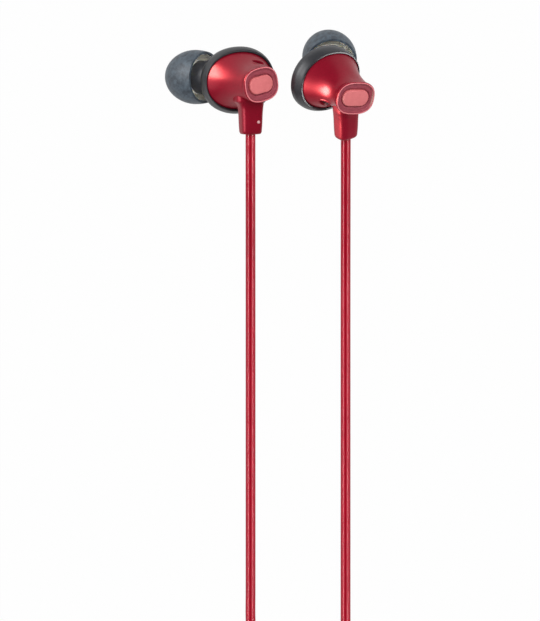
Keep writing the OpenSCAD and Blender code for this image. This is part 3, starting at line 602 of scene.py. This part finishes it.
SLEEVE_SIDES = 96
SLEEVE_LIP = [  # the rounded edge at the cord's end: Y, growth of the half width and height, power, lean
    (SLEEVE_END, -0.75, -0.75, 3.0, 0), (SLEEVE_END + 0.015, -0.58, -0.58, 3.05, 0),
    (SLEEVE_END + 0.05, -0.44, -0.44, 3.1, 0), (SLEEVE_END + 0.12, -0.35, -0.35, 3.2, 0),
    (SLEEVE_END + 0.3, -0.25, -0.23, 3.4, 0)]
SLEEVE_BODY = [  # from there to the flared root under the shell, by the same measures
    (-10.9, -0.18, -0.15, 3.6, 0), (-9.3, -0.1, -0.05, 3.8, 0), (-6.9, 0, 0, 3.8, 0),
    (-6.0, 0.1, 0.05, 3.6, 0), (-5.4, 0.22, 0.12, 3.4, 0.05), (-4.9, 0.42, 0.2, 3.2, 0.15),
    (-4.5, 0.65, 0.3, 3.0, 0.35), (-4.1, 0.8, 0.4, 3.0, 0.5), (-2.6, 0.8, 0.4, 3.0, 0.5)]


def sleeve_ring(y, wider, thicker, power, lean):
    return [(SLEEVE_X - lean + p[0], y, SLEEVE_Z + p[1])
            for p in oval(SLEEVE_W / 2 + wider, SLEEVE_T / 2 + thicker, power, 0, SLEEVE_SIDES)]


def sleeve(side):
    hole = CORD_W / 2 + 0.12
    socket = ((hole, SLEEVE_END + 1.4), (hole, SLEEVE_END + 0.1), (hole + 0.08, SLEEVE_END + 0.02))
    angles = [360 * (i + 0.5) / SLEEVE_SIDES for i in range(SLEEVE_SIDES)]
    rings = [[(SLEEVE_X + r * cos(a), y, SLEEVE_Z + r * sin(a)) for a in angles] for r, y in socket]
    rings += [sleeve_ring(*k) for k in SLEEVE_LIP + catmull(SLEEVE_BODY, 6)]
    rings = [to_bud(r, side) for r in rings]
    loft("sleeve_" + side, rings, M["shell_red"], "earphones", replaces=["cord_sleeve_" + side],
         slot="shell_red", sharp=50)


DOT_R, DOT_H, DOT_AT = 0.35, 0.3, (SLEEVE_X + 1.1, -8.75, SLEEVE_Z + SLEEVE_T / 2 - 0.1)


def dot():
    """The small dome on the left sleeve."""
    sides, steps = 40, 9
    rings = []
    for k in range(steps):
        a = 90 * k / steps
        r = DOT_R * cos(a)
        rings.append([(DOT_AT[0] + r * cos(360 * i / sides), DOT_AT[1] + r * sin(360 * i / sides),
                       DOT_AT[2] + DOT_H * sin(a)) for i in range(sides)])
    loft("dot_left", [to_bud(q, "left") for q in rings], M["dot_pink"], "earphones",
         replaces=["side_dot"], slot="pill_pink", sharp=60)


for side in SIDES:
    rear_shell(side)
    front_housing(side)
    nozzle(side)
    ear_tip(side)
    end_cap(side)
    sleeve(side)
dot()

# ---------------------------------------------------------------- cords
FLOOR_Z, LAYER, PITCH_W = CORD_T / 2, CORD_T + TURN_GAP, CORD_W + TURN_GAP
COIL_MID = np.array([-5.8, -147.0, FLOOR_Z])
PER_TURN, SIDE_TURNS, BEND_R, SPLIT_L, SPLIT_X, LEAD_IN = 24, 1.5, 5.4, 9.0, -4.4, CORD_W
LEFT_ROUTE = [
    [-4.2, -9.5, 16.7], [-4.2, -12.8, 16.4], [-4.2, -17, 15.7], [-4.2, -22, 14.1],
    [-4.2, -27, 11.7], [-4.2, -32, 8.8], [-4.2, -37, 5.9], [-4.2, -42, 3.5],
    [-4.2, -47, 1.9], [-4.2, -52, 1.05], [-4.2, -57, 0.8], [-4.2, -63, 0.8],
    [-4.2, -70, 0.8], [-4.2, -77, 0.8], [-4.2, -84, 0.8], [-4.2, -91, 0.8],
    [-4.2, -98, 0.8], [-4.2, -105, 0.8], [-4.2, -112, 0.8], [-4.2, -118, 0.8],
    [-3.8, -122, 0.8], [-2.3, -124.5, 0.8], [-0.1, -126.4, 0.8], [2.15, -127.7, 0.8]]
RIGHT_ROUTE = [
    [16.8, -10.25, 16.95], [16.8, -12.8, 15.75], [16.8, -17, 13.7], [16.8, -21.5, 11.4],
    [16.8, -26, 8.9], [16.8, -30.5, 6.4], [16.8, -35, 4.2], [16.8, -39.5, 2.4],
    [16.8, -44, 1.3], [16.8, -49, 0.8], [16.8, -55, 0.8], [16.8, -62, 0.8],
    [16.8, -69, 0.8], [16.8, -76, 0.8], [16.8, -83, 0.8], [16.8, -90, 0.8],
    [16.8, -97, 0.8], [16.8, -104, 0.8], [16.8, -111, 0.8], [16.8, -118, 0.8],
    [16.8, -125, 0.8], [16.8, -132, 0.8], [16.8, -139, 0.8]]


def polar(r, a, z=0.0):
    """A point round the coil's middle."""
    return COIL_MID + np.array([r * cos(a), r * sin(a), z])


def side_coil(outer, first_turn):
    """A side cord's way round the coil and in to the split: outer is 1 for the one that lies outside."""
    bend_x = COIL_R - BEND_R
    out = []
    for i in range(round(first_turn * PER_TURN), int(SIDE_TURNS * PER_TURN) + 1):
        t = i / PER_TURN
        out.append(polar(COIL_R + outer * PITCH_W + 2 * PITCH_W * (SIDE_TURNS - t), -360 * t))
    for a in range(15, 91, 15):
        r = BEND_R + outer * PITCH_W
        out.append(COIL_MID + np.array([-bend_x - r * cos(a), r * sin(a), 0]))
    out.append(COIL_MID + np.array([SPLIT_X, BEND_R + outer * PITCH_W, 0]))
    return out


LAYER_TURNS = 8 / 3
MAIN_TURNS = 3 * LAYER_TURNS
SPLIT_Y, MAIN_BEND, CLIMB = BEND_R + PITCH_W / 2, 5.2, 0.5


def main_r(t):
    k = math.floor(t / LAYER_TURNS + 0.0001)
    u = t - k * LAYER_TURNS
    return COIL_R + PITCH_W * (u if k % 2 == 0 else LAYER_TURNS - u)


def main_z(t):
    return LAYER * (smooth((t + 0.17) / 0.36) + smooth((t - LAYER_TURNS + CLIMB / 2) / CLIMB)
                    + smooth((t - 2 * LAYER_TURNS + CLIMB / 2) / CLIMB))


PLUG_X, PLUG_Y, HANDLE_D = 5.0, -179.0, 6.0
TAIL = [[13.2, -151, 6.6], [13.2, -155.5, 5.6], [13.2, -160, 4.2], [13, -164.5, 2.9],
        [12.4, -169, 2.1], [11.1, -173.5, 1.9], [9.4, -176.8, 2.3]]


def main_route():
    """The main cord: out of the split, round the coil in three layers, and out to the plug."""
    out = [COIL_MID + np.array([SPLIT_X + SPLIT_L, SPLIT_Y, 0]),
           COIL_MID + np.array([SPLIT_X + SPLIT_L + LEAD_IN, SPLIT_Y, 0])]
    for a in (22.5, 45, 67.5):
        x, y = COIL_R - MAIN_BEND + MAIN_BEND * sin(a), SPLIT_Y - MAIN_BEND * (1 - cos(a))
        out.append(COIL_MID + np.array([x, y, main_z(-0.14 + 0.11 * a / 90)]))
    for i in range(round(MAIN_TURNS * PER_TURN) + 1):
        t = i / PER_TURN
        out.append(polar(main_r(t), -360 * t, main_z(t)))
    out += [np.array(p, float) for p in TAIL]
    return out + [np.array([x, PLUG_Y, HANDLE_D / 2]) for x in (PLUG_X + LEAD_IN, PLUG_X)]


CORE_AT, CORE_POWER = 0.5, 2.2


def cord_section():
    """Flat cord of two cores side by side, with a crease between them on each flat side."""
    half = CORD_W / 2 - CORE_AT
    top = []
    for x in (1.07, 1.0, 0.9, 0.8, 0.7, 0.6, 0.5, 0.4, 0.3, 0.2, 0.1, 0.03, 0.0):
        top.append((x, CORD_T / 2 * (1 - (abs(x - CORE_AT) / half) ** CORE_POWER) ** (1 / CORE_POWER)))
    top += [(-x, y) for x, y in reversed(top[:-1])]
    return [(CORD_W / 2, 0)] + top + [(-CORD_W / 2, 0)] + [(x, -y) for x, y in reversed(top)]


SECTION = cord_section()


def cord(name, path, replaces):
    fine = catmull(path, 3)
    rings = []
    for i, p in enumerate(fine):
        ahead = fine[min(i + 1, len(fine) - 1)] - fine[max(i - 1, 0)]
        ahead = ahead / np.linalg.norm(ahead)
        across = np.cross(ahead, [0, 0, 1.0])
        across /= np.linalg.norm(across)
        up = np.cross(across, ahead)
        rings.append([p + s[0] * across + s[1] * up for s in SECTION])
    ob = loft(name, rings, M["cord_red"], "earphones", replaces=replaces, slot="cord_red", sharp=60)


cord("lead_left", LEFT_ROUTE[:-1] + side_coil(0, -4 / PER_TURN), ["cord_left", "cord_left_coil"])
cord("lead_right", RIGHT_ROUTE[:-1] + side_coil(1, 0), ["cord_right", "cord_right_coil"])
cord("lead_main", main_route(), ["cord_main_coil", "cord_main_tail"])

# ---------------------------------------------------------------- CAD nodes that stay, with better materials
KEEP = {"y_split": "shell_red", "plug_handle": "shell_red", "plug_relief": "housing_grey",
        "plug_sleeve": "plug_gold", "plug_rings": "plug_gold", "plug_insulators": "vent_black",
        "plug_tip": "plug_gold"}
KEEP_IN_BUD = {"nozzle_mesh": "tube_mesh", "driver_baffle": "housing_grey", "driver_rim": "mesh_steel",
               "diaphragm": "core_cream", "voice_coil": "plug_gold", "magnet": "mesh_steel",
               "yoke": "mesh_steel", "terminal_board": "housing_grey"}
for side in SIDES:
    KEEP.update({node + "_" + side: mat for node, mat in KEEP_IN_BUD.items()})
for node, mat in KEEP.items():
    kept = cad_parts[node]
    if not kept.material_slots:
        kept.data.materials.append(M[mat])
    for slot in kept.material_slots:
        slot.material = M[mat]

# ---------------------------------------------------------------- floor, light, camera
FLOOR_HALF, FLOOR_GREY, FLOOR_SEEN_WHITE = 6.0, 0.42, 0.985


def floor():
    """A grey floor to light, which camera, glossy and transmission rays see as white with its shadow."""
    me = bpy.data.meshes.new("floor")
    h = FLOOR_HALF
    me.from_pydata([(-h, -h, 0), (h, -h, 0), (h, h, 0), (-h, h, 0)], [], [(0, 1, 2, 3)])
    ob = bpy.data.objects.new("floor", me)
    bpy.context.scene.collection.objects.link(ob)
    m = bpy.data.materials.new("floor_white")
    m.use_nodes = True
    nt = m.node_tree
    b = nt.nodes["Principled BSDF"]
    b.inputs["Base Color"].default_value = (FLOOR_GREY, FLOOR_GREY, FLOOR_GREY, 1)
    b.inputs["Roughness"].default_value = 0.9
    b.inputs["Specular IOR Level"].default_value = 0.0
    em = nt.nodes.new("ShaderNodeEmission")
    em.inputs["Color"].default_value = (1, 1, 1, 1)
    em.inputs["Strength"].default_value = 1.0
    lp = nt.nodes.new("ShaderNodeLightPath")
    seen = lp.outputs["Is Camera Ray"]
    for ray in ("Is Glossy Ray", "Is Transmission Ray"):
        add = nt.nodes.new("ShaderNodeMath")
        add.operation = "MAXIMUM"
        nt.links.new(seen, add.inputs[0])
        nt.links.new(lp.outputs[ray], add.inputs[1])
        seen = add.outputs[0]
    mul = nt.nodes.new("ShaderNodeMath")
    mul.operation = "MULTIPLY"
    mul.inputs[1].default_value = FLOOR_SEEN_WHITE
    nt.links.new(seen, mul.inputs[0])
    mix = nt.nodes.new("ShaderNodeMixShader")
    nt.links.new(mul.outputs[0], mix.inputs[0])
    nt.links.new(b.outputs[0], mix.inputs[1])
    nt.links.new(em.outputs[0], mix.inputs[2])
    nt.links.new(mix.outputs[0], nt.nodes["Material Output"].inputs["Surface"])
    me.materials.append(m)


floor()


AIM = np.array([0.003, 0.0, 0.013])  # between the two earbuds
LAMP_DIST = 0.6


def lamp(name, azimuth, elevation, width, height, radiance, only=None, colour=(1, 1, 1), dist=LAMP_DIST):
    """A soft box in a direction from the earbuds: its radiance is what a mirror would show of it."""
    li = bpy.data.lights.new(name, "AREA")
    li.shape = "RECTANGLE"
    li.size, li.size_y = width, height
    li.energy = radiance * math.pi * width * height
    li.color = colour
    ob = bpy.data.objects.new(name, li)
    away = np.array([cos(azimuth) * cos(elevation), sin(azimuth) * cos(elevation), sin(elevation)])
    ob.location = tuple(AIM + dist * away)
    ob.rotation_euler = (Vector(tuple(AIM)) - ob.location).to_track_quat("-Z", "Y").to_euler()
    bpy.context.scene.collection.objects.link(ob)
    if only:
        lit = bpy.data.collections.new(name + "_on")
        for piece in only:
            lit.objects.link(piece)
        ob.light_linking.receiver_collection = lit
    return ob


def named(*starts):
    return [o for o in bpy.data.objects if o.type == "MESH" and o.name.startswith(starts)]


def red_of(side):
    """The coloured pieces of one earbud that its own key light is seen in."""
    return named("shell_" + side, "cap_" + side, "pill_" + side)


WARM = (1.0, 0.97, 0.74)
GLINTS = (  # soft boxes that are seen in reflections only
    lamp("key_left", 146, 21, 0.46, 0.22, 42.0, red_of("left"), WARM),
    lamp("key_right", 204, 22, 0.3, 0.34, 58.0, red_of("right"), WARM),
    lamp("soft_glint", 150, 24, 0.4, 0.3, 8.0, named("tip_skirt", "front_", "nozzle_part")),
    lamp("cord_glint", 270, 60, 0.12, 0.95, 30.0, named("lead_")),
    lamp("sleeve_glint", 186, 34, 0.4, 0.5, 4.0, named("sleeve_left")),
    lamp("sleeve_band", 184, 12, 0.5, 0.2, 85.0, named("sleeve_right"), WARM),
    lamp("brim_glint", 325, 10, 0.3, 0.2, 30.0, named("front_right")))
for glint in GLINTS:
    glint.visible_diffuse = False
lamp("core_top", 65, 58, 0.3, 0.3, 7.5, named("tip_core", "nozzle_part"))
lamp("core_low", 295, 58, 0.3, 0.3, 7.5, named("tip_core", "nozzle_part"))
lamp("side_soft", 184, 36, 0.5, 0.5, 1.7)
lamp("strip_right", -4, 40, 0.5, 0.06, 6.0,
     named("lead_", "cap_", "pill_", "sleeve_right", "tip_", "front_", "floor"))
lamp("top_soft", 55, 62, 0.8, 0.8, 2.4, dist=0.9).visible_glossy = False

world = bpy.data.worlds.new("studio")
bpy.context.scene.world = world
world.use_nodes = True
sky = world.node_tree.nodes["Background"]
sky.inputs["Color"].default_value = (1, 1, 1, 1)
sky.inputs["Strength"].default_value = 0.33

PHOTO_HEIGHT_PX, PIXEL = 621, 0.2203 * MM
VIEW_MID = (0.0001, -0.04974, 0.018)  # what the photo's middle shows
CAMERA_DIST, SENSOR = 5.0, 36
cam = bpy.data.cameras.new("camera")
camera = bpy.data.objects.new("camera", cam)
bpy.context.scene.collection.objects.link(camera)
camera.location = (VIEW_MID[0], VIEW_MID[1], VIEW_MID[2] + CAMERA_DIST)
camera.rotation_euler = (0, 0, 0)
cam.sensor_width = SENSOR
cam.lens = SENSOR * CAMERA_DIST / (PHOTO_HEIGHT_PX * PIXEL)
cam.clip_start, cam.clip_end = 0.05, 50
bpy.context.scene.camera = camera
bpy.context.scene.view_settings.view_transform = "Standard"
